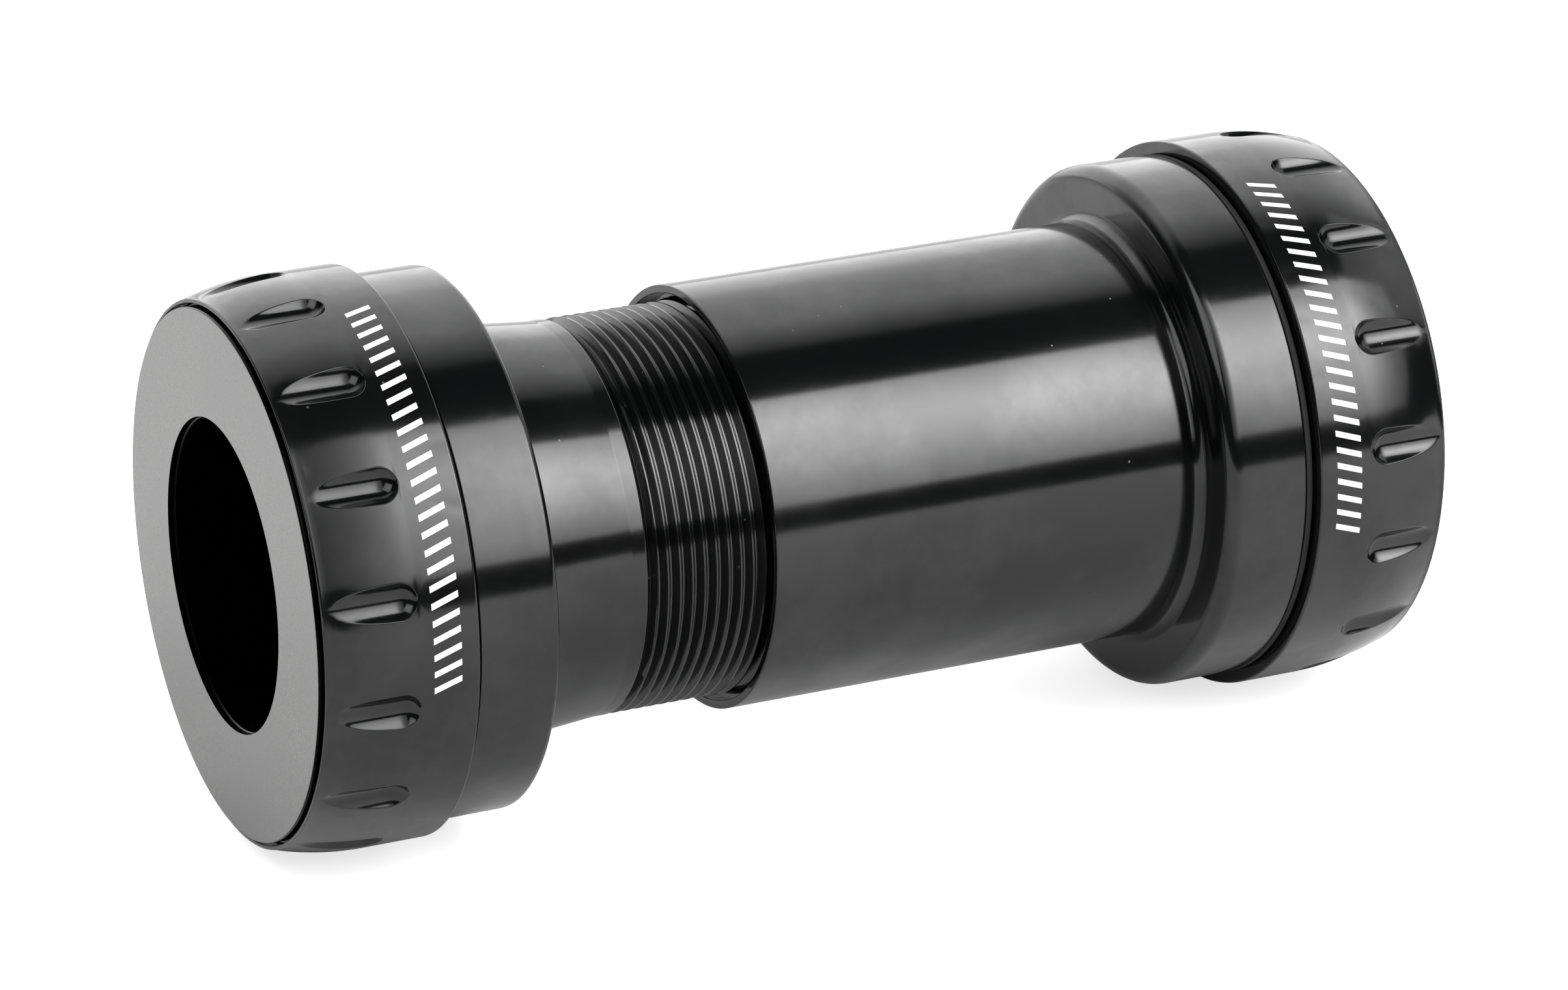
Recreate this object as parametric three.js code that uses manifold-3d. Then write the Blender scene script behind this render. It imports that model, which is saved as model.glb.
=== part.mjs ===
// Thread-together bottom bracket: two flanged cups that screw into each other inside a
// 42 mm frame shell and carry a 24 mm crank spindle on two sealed ball bearings.
// Millimetres, +Z up. The spindle axis is +Y, from the left cup to the right cup, and the
// origin is on that axis, halfway between the two flange shoulders.
// Lengths inside a cup are written as h: the distance from the cup's own shoulder,
// positive outwards through the flange and negative inwards along the tube.

import * as THREE from 'three';
import { mergeVertices } from 'three/addons/utils/BufferGeometryUtils.js';
import Module from 'manifold-3d';

const wasm = await Module();
wasm.setup();

// ---- driving dimensions --------------------------------------------------------------
const SHELL_WIDTH = 68;
const PITCH = 1;
const TURNS_OUT = 2;
const SHOULDER_Y = (SHELL_WIDTH + TURNS_OUT * PITCH) / 2;

const SPINDLE_R = 12;
const BODY_R = 21;
const BODY_LENGTH = 6.75;
const FLANGE_R = 22;
const FLANGE_DEPTH = 11.65;
const RIM_R = 21;
const RIM_START = 11.3;
const BARREL_START = 6;
const EDGE = 0.25;

const NOTCH_COUNT = 16;
const NOTCH_R = 1.55;
const NOTCH_CENTRE_R = 22.55;
const NOTCH_END = 6;
const LEFT_NOTCH_PHASE = 9.6;
const RIGHT_NOTCH_PHASE = 12.6;

const SEAL_GROOVE_R = 20.4;
const SEAL_GROOVE_WIDTH = 0.9;
const SEAL_STEP_R = 21.25;
const SEAL_STEP_DEPTH = 0.2;
const SHELL_SEAL_R = 20.85;
const SHELL_SEAL_WIRE_R = 0.32;

const COVER_R = 20.4;
const COVER_FACE = 12;
const COVER_BACK = 10.8;
const COVER_BOSS = 10.5;
const COVER_BOSS_R = 13.9;
const HUB_R = 12.4;
const HUB_END = 3.8;
const BORE_BEVEL = 0.25;
const RECESS_R = 20.65;
const RECESS_FLOOR = 10.4;

const BEARING_OUTER_R = 18.5;
const BEARING_BORE_R = 12.5;
const BEARING_WIDTH = 7;
const BEARING_MIDDLE = 6.9;
const PITCH_R = (BEARING_OUTER_R + BEARING_BORE_R) / 2;
const BALL_R = 1.75;
const BALL_COUNT = 15;
const INNER_LAND_R = 14.1;
const INNER_GROOVE_R = 13.62;
const OUTER_LAND_R = 16.9;
const OUTER_GROOVE_R = 17.4;
const GROOVE_EDGE = 1.25;
const GROOVE_FLOOR = 0.7;
const BEARING_SEAL = { innerR: 14.25, outerR: 16.7, near: 2.75, far: 3.25 };
const CAGE = { innerR: 14.75, outerR: 16.25, halfWidth: 2.4, pocketR: 2.06, cutterLength: 6 };

const POCKET_R = 18.7;
const POCKET_FLOOR = 3.1;
const LIP_R = 16.4;
const LIP_END = 1.5;

const SLEEVE_R = 16.65;
const SLEEVE_LENGTH = 43.8;
const SLEEVE_FILLET_START = 8.9;
const SLEEVE_BODY_CORNER = 0.5;
const SLEEVE_EDGE = 0.1;
const SLEEVE_BORE_R = 14.8;
const FEMALE_THREAD_R = 15.7;
const FEMALE_THREAD_END = 24;
const FEMALE_THREAD_RUNOUT = 1;
const MOUTH_R = 16.1;
const MOUTH_DEPTH = 0.6;
const MOUTH_TAPER = 0.4;

const TUBE_BORE_R = 13.6;
const TUBE_LENGTH = 33;
const NECK_R = 16.2;
const NECK_END_R = 15.45;
const NECK_LENGTH = 14.85;
const NECK_STEP = 0.1;
const NECK_BODY_CORNER = 0.4;
const RELIEF_R = 15.3;
const RELIEF_RUNOUT = 0.3;
const THREAD_START = 16.3;
const THREAD_TURNS = 16;
const THREAD_FADE_TURNS = 0.5;
const THREAD_R = 15.4;
const THREAD_ROOT_R = 14.8;
const THREAD_CORE_R = 14.6;
const THREAD_INNER_R = 14.3;

const CUP_SEGMENTS = 48;
const COVER_SEGMENTS = 36;
const BEARING_SEGMENTS = 30;
const CAGE_SEGMENTS = 30;
const THREAD_SEGMENTS = 24;
const CUTTER_SEGMENTS = 8;
const CUTTER_OVERRUN = 1;
const SEAL_WIRE_SEGMENTS = 5;
const ARC_STEPS = 2;
const ROWS_PER_PITCH = 4;
const WELD_DISTANCE = 1e-5;

// ---- finishes ------------------------------------------------------------------------
const finish = (color, roughness, metalness) =>
  new THREE.MeshStandardMaterial({ color, roughness, metalness });
const anodised = finish(0x16171a, 0.28, 0.9);
const satin = finish(0x4a4b4d, 0.55, 0.6);
const steel = finish(0xb9bcc0, 0.2, 1);
const ceramic = finish(0x2a2b2e, 0.12, 0);
const rubber = finish(0x101010, 0.8, 0);
const nylon = finish(0xd9d4c4, 0.6, 0);

// ---- helpers -------------------------------------------------------------------------
// A side is +1 for the right cup and -1 for the left cup.
const yOf = (side, h) => side * (SHOULDER_Y + h);

// Revolves a closed outline of [radius, h] pairs, written anticlockwise for the right side.
function turned(outline, side, segments) {
  const points = outline.map(([r, h]) => new THREE.Vector2(r, yOf(side, h)));
  if (side < 0) points.reverse();
  points.push(points[0].clone());
  return new THREE.LatheGeometry(points, segments);
}

function toSolid(geometry) {
  const bare = geometry.clone();
  bare.deleteAttribute('normal');
  bare.deleteAttribute('uv');
  const merged = mergeVertices(bare, WELD_DISTANCE);
  return new wasm.Manifold(new wasm.Mesh({
    numProp: 3,
    vertProperties: new Float32Array(merged.attributes.position.array),
    triVerts: new Uint32Array(merged.index.array),
  }));
}

function toGeometry(solid) {
  const mesh = solid.getMesh();
  const geometry = new THREE.BufferGeometry();
  geometry.setAttribute('position', new THREE.BufferAttribute(new Float32Array(mesh.vertProperties), 3));
  geometry.setIndex(new THREE.BufferAttribute(new Uint32Array(mesh.triVerts), 1));
  geometry.computeVertexNormals();
  return geometry;
}

const model = new THREE.Group();

function add(name, geometry, material) {
  const mesh = new THREE.Mesh(geometry, material);
  mesh.name = name;
  model.add(mesh);
}

// ---- cups ----------------------------------------------------------------------------
// Outside of the flange, from the seal's groove to the front rim. The groove also steps back
// into the shoulder, so that the seal lies clear of the face that meets the shell. The front
// half is a barrel: an arc that leaves the cylinder at BARREL_START and drops to RIM_R at
// RIM_START.
function flangeOutside() {
  const run = RIM_START - BARREL_START;
  const drop = FLANGE_R - RIM_R;
  const arcR = (run * run + drop * drop) / (2 * drop);
  const outline = [
    [BODY_R, -SEAL_GROOVE_WIDTH], [SEAL_GROOVE_R, -SEAL_GROOVE_WIDTH],
    [SEAL_GROOVE_R, SEAL_STEP_DEPTH], [SEAL_STEP_R, SEAL_STEP_DEPTH], [SEAL_STEP_R, 0],
    [FLANGE_R - EDGE, 0], [FLANGE_R, EDGE],
  ];
  for (let i = 0; i <= ARC_STEPS; i++) {
    const along = run * i / ARC_STEPS;
    outline.push([FLANGE_R - arcR + Math.sqrt(arcR * arcR - along * along), BARREL_START + along]);
  }
  outline.push([RIM_R - EDGE, FLANGE_DEPTH]);
  return outline;
}

// Inside of the flange: the dust cover's recess, the bearing's pocket and its lip.
function pocketInside() {
  return [
    [RECESS_R, FLANGE_DEPTH], [RECESS_R, RECESS_FLOOR],
    [POCKET_R, RECESS_FLOOR], [POCKET_R, POCKET_FLOOR],
    [LIP_R, POCKET_FLOOR], [LIP_R, LIP_END],
  ];
}

// The right cup's long sleeve runs into its body through a concave fillet.
function rightCupOutline() {
  const fillet = [];
  const rise = BODY_R - SLEEVE_BODY_CORNER - SLEEVE_R;
  const run = SLEEVE_FILLET_START - BODY_LENGTH;
  for (let i = 0; i <= ARC_STEPS; i++) {
    const angle = Math.PI / 2 * i / ARC_STEPS;
    fillet.push([SLEEVE_R + rise * (1 - Math.cos(angle)), -SLEEVE_FILLET_START + run * Math.sin(angle)]);
  }
  return [
    [SLEEVE_R - SLEEVE_EDGE, -SLEEVE_LENGTH], [SLEEVE_R, -SLEEVE_LENGTH + SLEEVE_EDGE],
    ...fillet, [BODY_R, -BODY_LENGTH + SLEEVE_BODY_CORNER],
    ...flangeOutside(), ...pocketInside(),
    [SLEEVE_BORE_R, -LIP_END], [SLEEVE_BORE_R, -FEMALE_THREAD_END],
    [FEMALE_THREAD_R, -FEMALE_THREAD_END - FEMALE_THREAD_RUNOUT],
    [FEMALE_THREAD_R, -SLEEVE_LENGTH + MOUTH_DEPTH + MOUTH_TAPER],
    [MOUTH_R, -SLEEVE_LENGTH + MOUTH_DEPTH], [MOUTH_R, -SLEEVE_LENGTH],
  ];
}

// The left cup's tube: a tapering neck, a relief band and the core that carries the thread.
function leftCupOutline() {
  return [
    [THREAD_CORE_R, -TUBE_LENGTH], [THREAD_CORE_R, -THREAD_START],
    [RELIEF_R, -THREAD_START + RELIEF_RUNOUT], [RELIEF_R, -NECK_LENGTH],
    [NECK_END_R, -NECK_LENGTH + NECK_STEP], [NECK_R, -BODY_LENGTH],
    [BODY_R - NECK_BODY_CORNER, -BODY_LENGTH], [BODY_R, -BODY_LENGTH + NECK_BODY_CORNER],
    ...flangeOutside(), ...pocketInside(),
    [TUBE_BORE_R, -LIP_END], [TUBE_BORE_R, -TUBE_LENGTH],
  ];
}

// A ball-nosed slot cutter: a cylinder along Y with a round inner end.
function notchCutter(side) {
  const outline = [[0, NOTCH_END - NOTCH_R]];
  for (let i = 1; i <= ARC_STEPS; i++) {
    const angle = Math.PI / 2 * i / ARC_STEPS;
    outline.push([NOTCH_R * Math.sin(angle), NOTCH_END - NOTCH_R * Math.cos(angle)]);
  }
  const end = FLANGE_DEPTH + CUTTER_OVERRUN;
  outline.push([NOTCH_R, end], [0, end]);
  const points = outline.map(([r, h]) => new THREE.Vector2(r, yOf(side, h)));
  if (side < 0) points.reverse();
  return new THREE.LatheGeometry(points, CUTTER_SEGMENTS);
}

function cutNotches(solid, side, phase) {
  let result = solid;
  for (let i = 0; i < NOTCH_COUNT; i++) {
    const angle = THREE.MathUtils.degToRad(phase + 360 * i / NOTCH_COUNT);
    const cutter = notchCutter(side);
    cutter.rotateY(angle);
    cutter.translate(NOTCH_CENTRE_R * Math.sin(angle), 0, NOTCH_CENTRE_R * Math.cos(angle));
    result = result.subtract(toSolid(cutter));
  }
  return result;
}

// Right-hand male thread: the crest climbs one pitch along +Y for each turn about +Y,
// and fades into the root over the last half turn at each end.
function threadRing() {
  const rows = THREAD_TURNS * ROWS_PER_PITCH;
  const start = -SHOULDER_Y + THREAD_START;
  const points = [new THREE.Vector2(THREAD_INNER_R, start)];
  for (let i = 0; i <= rows; i++) {
    points.push(new THREE.Vector2(THREAD_R, start + PITCH * i / ROWS_PER_PITCH));
  }
  points.push(new THREE.Vector2(THREAD_INNER_R, start + PITCH * THREAD_TURNS), points[0].clone());
  const geometry = new THREE.LatheGeometry(points, THREAD_SEGMENTS);
  const position = geometry.attributes.position;
  for (let i = 0; i < position.count; i++) {
    const [x, y, z] = [position.getX(i), position.getY(i), position.getZ(i)];
    const r = Math.hypot(x, z);
    if (r < THREAD_ROOT_R) continue;
    const turns = (y - start) / PITCH;
    const phase = turns - Math.atan2(x, z) / (2 * Math.PI);
    const wave = Math.abs(2 * (phase - Math.floor(phase)) - 1);
    const fade = Math.min(1, turns / THREAD_FADE_TURNS, (THREAD_TURNS - turns) / THREAD_FADE_TURNS);
    const scale = (THREAD_ROOT_R + (THREAD_R - THREAD_ROOT_R) * wave * fade) / r;
    position.setXYZ(i, x * scale, y, z * scale);
  }
  return geometry;
}

const rightCup = toSolid(turned(rightCupOutline(), 1, CUP_SEGMENTS));
add('right_cup', toGeometry(cutNotches(rightCup, 1, RIGHT_NOTCH_PHASE)), anodised);

const leftCup = toSolid(turned(leftCupOutline(), -1, CUP_SEGMENTS)).add(toSolid(threadRing()));
add('left_cup', toGeometry(cutNotches(leftCup, -1, LEFT_NOTCH_PHASE)), anodised);

// ---- bearings, covers and seals, the same on both sides --------------------------------
// Race section: a plain band with the ball groove on the side that faces the balls.
function outerRace(side) {
  const half = BEARING_WIDTH / 2;
  const m = BEARING_MIDDLE;
  return turned([
    [BEARING_OUTER_R, m - half], [BEARING_OUTER_R, m + half],
    [OUTER_LAND_R, m + half], [OUTER_LAND_R, m + GROOVE_EDGE],
    [OUTER_GROOVE_R, m + GROOVE_FLOOR], [OUTER_GROOVE_R, m - GROOVE_FLOOR],
    [OUTER_LAND_R, m - GROOVE_EDGE], [OUTER_LAND_R, m - half],
  ], side, BEARING_SEGMENTS);
}

function innerRace(side) {
  const half = BEARING_WIDTH / 2;
  const m = BEARING_MIDDLE;
  return turned([
    [BEARING_BORE_R, m - half], [INNER_LAND_R, m - half],
    [INNER_LAND_R, m - GROOVE_EDGE], [INNER_GROOVE_R, m - GROOVE_FLOOR],
    [INNER_GROOVE_R, m + GROOVE_FLOOR], [INNER_LAND_R, m + GROOVE_EDGE],
    [INNER_LAND_R, m + half], [BEARING_BORE_R, m + half],
  ], side, BEARING_SEGMENTS);
}

function bearingSeal(side, direction) {
  const near = BEARING_MIDDLE + direction * BEARING_SEAL.near;
  const far = BEARING_MIDDLE + direction * BEARING_SEAL.far;
  const [low, high] = [Math.min(near, far), Math.max(near, far)];
  return turned([
    [BEARING_SEAL.innerR, low], [BEARING_SEAL.outerR, low],
    [BEARING_SEAL.outerR, high], [BEARING_SEAL.innerR, high],
  ], side, BEARING_SEGMENTS);
}

// The cage is a ring with one radial pocket for each ball.
function cage(side) {
  const [low, high] = [BEARING_MIDDLE - CAGE.halfWidth, BEARING_MIDDLE + CAGE.halfWidth];
  const ring = turned([
    [CAGE.innerR, low], [CAGE.outerR, low], [CAGE.outerR, high], [CAGE.innerR, high],
  ], side, CAGE_SEGMENTS);
  let solid = toSolid(ring);
  for (let i = 0; i < BALL_COUNT; i++) {
    const pocket = new THREE.CylinderGeometry(
      CAGE.pocketR, CAGE.pocketR, CAGE.cutterLength, CUTTER_SEGMENTS);
    pocket.rotateX(Math.PI / 2);
    pocket.translate(0, yOf(side, BEARING_MIDDLE), PITCH_R);
    pocket.rotateY(2 * Math.PI * i / BALL_COUNT);
    solid = solid.subtract(toSolid(pocket));
  }
  return toGeometry(solid);
}

// The dust cover: a flat disc in front, with a thin hub that lines the bearing's bore
// down to the spindle's diameter.
function dustCover(side) {
  return turned([
    [SPINDLE_R, HUB_END], [HUB_R, HUB_END], [HUB_R, COVER_BOSS],
    [COVER_BOSS_R, COVER_BOSS], [COVER_BOSS_R, COVER_BACK], [COVER_R, COVER_BACK],
    [COVER_R, COVER_FACE], [SPINDLE_R + BORE_BEVEL, COVER_FACE], [SPINDLE_R, COVER_FACE - BORE_BEVEL],
  ], side, COVER_SEGMENTS);
}

function shellSeal(side) {
  const ring = new THREE.TorusGeometry(
    SHELL_SEAL_R, SHELL_SEAL_WIRE_R, SEAL_WIRE_SEGMENTS, BEARING_SEGMENTS);
  ring.rotateX(Math.PI / 2);
  ring.translate(0, yOf(side, -SEAL_GROOVE_WIDTH / 2), 0);
  return ring;
}

function ball(side, index) {
  const angle = 2 * Math.PI * index / BALL_COUNT;
  const sphere = new THREE.IcosahedronGeometry(BALL_R, 1);
  sphere.rotateY(angle);
  sphere.translate(PITCH_R * Math.sin(angle), yOf(side, BEARING_MIDDLE), PITCH_R * Math.cos(angle));
  return sphere;
}

for (const [name, side] of [['left', -1], ['right', 1]]) {
  add(`${name}_shell_seal`, shellSeal(side), rubber);
  add(`${name}_outer_race`, outerRace(side), steel);
  add(`${name}_inner_race`, innerRace(side), steel);
  add(`${name}_outboard_seal`, bearingSeal(side, 1), rubber);
  add(`${name}_inboard_seal`, bearingSeal(side, -1), rubber);
  add(`${name}_cage`, cage(side), nylon);
  add(`${name}_dust_cover`, dustCover(side), satin);
  for (let i = 0; i < BALL_COUNT; i++) {
    add(`${name}_ball_${String(i + 1).padStart(2, '0')}`, ball(side, i), ceramic);
  }
}

export default model;
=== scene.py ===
"""Thread-together bottom bracket: two black anodised cups, dust covers, seals and bearings.

Each cup is one closed surface: an outline of (radius, height) carried round the spindle axis,
with the tool notches and the screw threads worked out on the same grid. The spindle axis is +Y
and +Z is up. Inside a cup, height means the distance from the cup's own flange shoulder,
positive outwards, and both cups use the same sizes with opposite signs. Lengths are in
millimetres until a mesh is written, and in metres from there on.
"""

import logging
import math
from dataclasses import dataclass, field
from enum import Enum
from typing import Any, Optional, Sequence

import bmesh
import bpy
import numpy as np
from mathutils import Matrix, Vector


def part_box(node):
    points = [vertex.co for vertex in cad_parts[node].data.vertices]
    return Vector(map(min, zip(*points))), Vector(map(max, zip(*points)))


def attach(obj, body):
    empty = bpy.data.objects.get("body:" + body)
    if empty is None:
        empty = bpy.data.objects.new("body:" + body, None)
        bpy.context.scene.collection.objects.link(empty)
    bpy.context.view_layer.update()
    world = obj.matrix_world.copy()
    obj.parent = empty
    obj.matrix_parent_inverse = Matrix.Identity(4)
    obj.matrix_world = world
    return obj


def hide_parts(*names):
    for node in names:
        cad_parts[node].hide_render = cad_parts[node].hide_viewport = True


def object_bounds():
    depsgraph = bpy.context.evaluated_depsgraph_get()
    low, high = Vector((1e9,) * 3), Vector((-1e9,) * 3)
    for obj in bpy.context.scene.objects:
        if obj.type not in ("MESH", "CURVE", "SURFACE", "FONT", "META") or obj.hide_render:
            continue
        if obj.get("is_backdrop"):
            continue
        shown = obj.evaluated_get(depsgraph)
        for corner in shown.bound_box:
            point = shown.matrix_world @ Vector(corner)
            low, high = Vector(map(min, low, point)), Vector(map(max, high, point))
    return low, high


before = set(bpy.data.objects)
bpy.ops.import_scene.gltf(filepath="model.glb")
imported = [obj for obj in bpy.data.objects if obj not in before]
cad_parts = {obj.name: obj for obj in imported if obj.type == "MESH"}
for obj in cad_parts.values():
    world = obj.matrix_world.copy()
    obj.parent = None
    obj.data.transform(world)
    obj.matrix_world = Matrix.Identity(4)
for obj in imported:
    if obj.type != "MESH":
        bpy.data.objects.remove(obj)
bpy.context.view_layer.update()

LOG = logging.getLogger("bottom_bracket")
MM = 0.001
TURN = 2.0 * math.pi
PITCH = 1.0
COLUMNS_PER_SECTOR = 24
SECTORS = 16
SHARP_ANGLE = math.radians(40.0)
WELD_DISTANCE = 1e-8


class Side(Enum):
    """Which end of the spindle axis a piece sits at."""

    LEFT = -1
    RIGHT = 1

    @property
    def word(self) -> str:
        """The name used in node and piece names."""
        return self.name.lower()


# ---- shader expressions --------------------------------------------------------------------


class Term:
    """A number or colour that a node gives out, with arithmetic that adds Math nodes."""

    def __init__(self, shader: "Shader", socket: bpy.types.NodeSocket) -> None:
        """Wraps one output socket of the shader's node tree."""
        self.shader = shader
        self.socket = socket

    def _math(self, operation: str, *values: Any) -> "Term":
        """Adds a Math node over the values and gives its result."""
        inputs = dict(enumerate(values))
        return self.shader.node("ShaderNodeMath", {"operation": operation}, inputs)

    def __add__(self, other: Any) -> "Term":
        """The sum."""
        return self._math("ADD", self, other)

    __radd__ = __add__

    def __sub__(self, other: Any) -> "Term":
        """The difference."""
        return self._math("SUBTRACT", self, other)

    def __rsub__(self, other: Any) -> "Term":
        """The difference, the other way round."""
        return self._math("SUBTRACT", other, self)

    def __mul__(self, other: Any) -> "Term":
        """The product."""
        return self._math("MULTIPLY", self, other)

    __rmul__ = __mul__

    def __truediv__(self, other: Any) -> "Term":
        """The quotient."""
        return self._math("DIVIDE", self, other)

    def __rtruediv__(self, other: Any) -> "Term":
        """The quotient, the other way round."""
        return self._math("DIVIDE", other, self)

    def __pow__(self, other: Any) -> "Term":
        """The power."""
        return self._math("POWER", self, other)

    def above(self, edge: float) -> "Term":
        """One where the value is over the edge, and nought elsewhere."""
        return self._math("GREATER_THAN", self, edge)

    def below(self, edge: float) -> "Term":
        """One where the value is under the edge, and nought elsewhere."""
        return self._math("LESS_THAN", self, edge)

    def least(self, other: Any) -> "Term":
        """The smaller of the two."""
        return self._math("MINIMUM", self, other)

    def most(self, other: Any) -> "Term":
        """The larger of the two."""
        return self._math("MAXIMUM", self, other)

    def eased(self, low: float, high: float) -> "Term":
        """A smooth step.

        Args:
            low: where it is still nought.
            high: where it has reached one.

        Returns:
            The step's height at the value.
        """
        settings = {"interpolation_type": "SMOOTHSTEP"}
        inputs = {"Value": self, "From Min": low, "From Max": high, "To Min": 0.0, "To Max": 1.0}
        return self.shader.node("ShaderNodeMapRange", settings, inputs, "Result")


class Shader:
    """A node tree that is written as expressions."""

    def __init__(self, tree: bpy.types.NodeTree) -> None:
        """Starts from an empty tree."""
        self.tree = tree
        self.tree.nodes.clear()

    def node(self, kind: str, settings: Optional[dict] = None, inputs: Optional[dict] = None,
             output: Any = 0) -> Optional[Term]:
        """Adds a node.

        Args:
            kind: the node's type.
            settings: attributes of the node, which are set first.
            inputs: a value or a Term for each input, by its name or number.
            output: which output the returned Term wraps, by name or number.

        Returns:
            The chosen output, or nothing for a node that has none.
        """
        made = self.tree.nodes.new(kind)
        for name, value in (settings or {}).items():
            setattr(made, name, value)
        for name, value in (inputs or {}).items():
            if isinstance(value, Term):
                self.tree.links.new(value.socket, made.inputs[name])
            else:
                made.inputs[name].default_value = value
        return Term(self, made.outputs[output]) if made.outputs else None

    def part(self, vector: Term, axis: int) -> Term:
        """One of the three parts of a vector, numbered from nought."""
        return self.node("ShaderNodeSeparateXYZ", {}, {0: vector}, axis)

    def place(self) -> Term:
        """The Object coordinates of the point that is shaded, in metres."""
        return self.node("ShaderNodeTexCoord", output="Object")

    def noise(self, scale: float, detail: float = 2.0, stretch: Sequence[float] = (1, 1, 1),
              roughness: float = 0.5) -> Term:
        """Noise over the Object coordinates.

        Args:
            scale: features per metre.
            detail: octaves of finer noise.
            stretch: how the coordinates are scaled first, along X, Y and Z.
            roughness: how strong the finer octaves are.

        Returns:
            The noise, from nought to one.
        """
        place = self.node("ShaderNodeMapping", {}, {"Vector": self.place(), "Scale": stretch})
        inputs = {"Vector": place, "Scale": scale, "Detail": detail, "Roughness": roughness}
        return self.node("ShaderNodeTexNoise", {}, inputs, "Fac")

    def cells(self, scale: float, stretch: Sequence[float] = (1, 1, 1)) -> Term:
        """Distance to the nearest of many scattered points, in parts of their spacing."""
        place = self.node("ShaderNodeMapping", {}, {"Vector": self.place(), "Scale": stretch})
        return self.node("ShaderNodeTexVoronoi", {}, {"Vector": place, "Scale": scale}, "Distance")

    def blend(self, amount: Any, first: Sequence[float], second: Sequence[float]) -> Term:
        """Mixes two colours, each a plain colour or a Term."""
        inputs = {0: amount, 6: first, 7: second}
        return self.node("ShaderNodeMix", {"data_type": "RGBA"}, inputs, 2)

    def bump(self, height: Term, distance: float, strength: float = 1.0) -> Term:
        """A normal that is tilted by the slope of a height."""
        inputs = {"Height": height, "Distance": distance, "Strength": strength}
        return self.node("ShaderNodeBump", {}, inputs, "Normal")

    def surface(self, closure: Term) -> None:
        """Connects a shader to the material's output."""
        self.node("ShaderNodeOutputMaterial", {}, {"Surface": closure})


def grey(level: float, warmth: float = 0.0) -> tuple[float, float, float, float]:
    """A grey colour, a little warmer or cooler than neutral."""
    return (level * (1 + warmth), level, level * (1 - warmth), 1.0)


# ---- finishes ------------------------------------------------------------------------------


@dataclass(frozen=True)
class Finish:
    """What a surface is made of. A subclass fills in the shader."""

    name: str

    def material(self) -> bpy.types.Material:
        """Makes the finish's material, once.

        Returns:
            The material, which every piece with this finish shares.
        """
        made = bpy.data.materials.get(self.name)
        if made is None:
            made = bpy.data.materials.new(self.name)
            made.use_nodes = True
            self.paint(Shader(made.node_tree))
        return made

    def paint(self, shader: Shader) -> None:
        """Builds the nodes.

        Args:
            shader: the material's node tree.
        """
        raise NotImplementedError


@dataclass(frozen=True)
class BlackAnodising(Finish):
    """Glossy black anodised aluminium, with turning marks, a handled film, hairlines and dust."""

    name: str = "black_anodising"
    depth: float = 0.0035
    gloss: float = 0.095
    index: float = 1.5

    def paint(self, shader: Shader) -> None:
        """Smudges and fine grain vary the roughness, the film is a thin coat that comes and
        goes in blotches, and dust and hairlines lift the colour.

        Args:
            shader: the material's node tree.
        """
        grain = shader.noise(2600.0, 3.0)
        smudge = shader.noise(60.0, 4.0, roughness=0.62).eased(0.52, 0.74)
        film = shader.noise(75.0, 6.0, roughness=0.68).eased(0.4, 0.66)
        streak = shader.noise(900.0, 2.0, (1, 0.06, 1)).eased(0.6, 0.8)
        turning = shader.noise(9000.0, 1.0, (0.02, 1, 0.02))
        specks = shader.cells(420.0).below(0.035) * shader.noise(35.0).eased(0.5, 0.6)
        hairs = shader.cells(260.0, (1, 0.05, 1)).below(0.009)
        dust = specks.most(hairs * shader.noise(48.0).eased(0.55, 0.62))
        roughness = self.gloss + 0.04 * grain + 0.06 * smudge + 0.02 * streak + 0.25 * dust
        colour = shader.blend(dust * 0.5, grey(self.depth, -0.06), grey(0.25, 0.02))
        height = grain * 0.35 + turning * 0.3
        closure = shader.node("ShaderNodeBsdfPrincipled", {}, {
            "Base Color": colour, "Roughness": roughness, "IOR": self.index,
            "Coat Weight": 0.3 * film, "Coat Roughness": 0.16, "Coat IOR": 1.5,
            "Normal": shader.bump(height, 0.000002, 0.6)}, "BSDF")
        shader.surface(closure)


@dataclass(frozen=True)
class SatinCoverPaintedShade(Finish):
    """A cover whose flat face is a dark satin grey, and whose bore and side wall are painted near
    black as shade.

    The face's two edges are distances from the axis in metres.
    """

    name: str = "satin_cover"
    face_inner: float = 0.01212
    face_outer: float = 0.02033

    def paint(self, shader: Shader) -> None:
        """The face has a fine grain and faint handling marks. Its edge is found from the distance
        to the axis. Inside and outside it, on the bore and the side wall, the colour is painted
        shade: near black, for the shade down the bore and in the gap by the rim.

        Args:
            shader: the material's node tree.
        """
        x, z = shader.part(shader.place(), 0), shader.part(shader.place(), 2)
        distance = (x * x + z * z) ** 0.5
        face = distance.above(self.face_inner) * distance.below(self.face_outer)
        grain = shader.noise(5200.0, 3.0)
        cloud = shader.noise(90.0, 3.0)
        marks = shader.cells(300.0, (1, 1, 0.25)).below(0.02) * shader.noise(40.0).eased(0.54, 0.6)
        colour = shader.blend(cloud, grey(0.235), grey(0.275, 0.01))
        worn = shader.blend(marks * 0.5, colour, grey(0.32))
        # Painted shade: off the face the colour is near black and fully metallic, standing in for
        # the shade on the bore and the side wall.
        closure = shader.node("ShaderNodeBsdfPrincipled", {}, {
            "Base Color": shader.blend(face, grey(0.003), worn), "Metallic": 1.0 - 0.3 * face,
            "Roughness": 0.19 + 0.1 * grain + 0.05 * cloud, "IOR": 1.7,
            "Normal": shader.bump(grain, 0.00001, 0.5)}, "BSDF")
        shader.surface(closure)


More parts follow.
